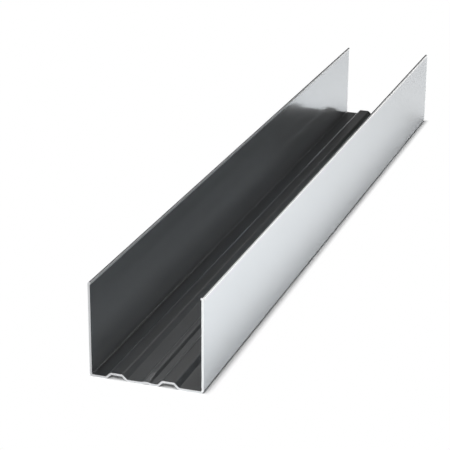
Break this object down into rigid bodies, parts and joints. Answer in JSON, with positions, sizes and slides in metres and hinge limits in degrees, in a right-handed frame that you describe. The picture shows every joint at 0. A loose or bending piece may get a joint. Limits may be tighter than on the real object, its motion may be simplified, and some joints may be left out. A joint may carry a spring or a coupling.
{
  "type": "metal stud track",
  "caption": "Short length of U-section drywall track in galvanised steel, with a ribbed web, tall plain flanges and thin inward lips.",
  "frame": {"origin": "underside of the web, midway between the flanges and midway along the length, at the height of the web's flat seats", "axes": "+X across the web to the right flange, +Y along the length away from the end the picture shows nearest, +Z from the web up the flanges to the open side"},
  "size_m": [0.05, 0.4, 0.042],
  "materials": {
    "galvanised_steel": "smooth hot-dip galvanised strip, semi-gloss, with a fine rolling grain along the length and plain sheared edges"
  },
  "bodies": {
    "root": {"stud_track": "galvanised_steel"}
  },
  "joints": []
}
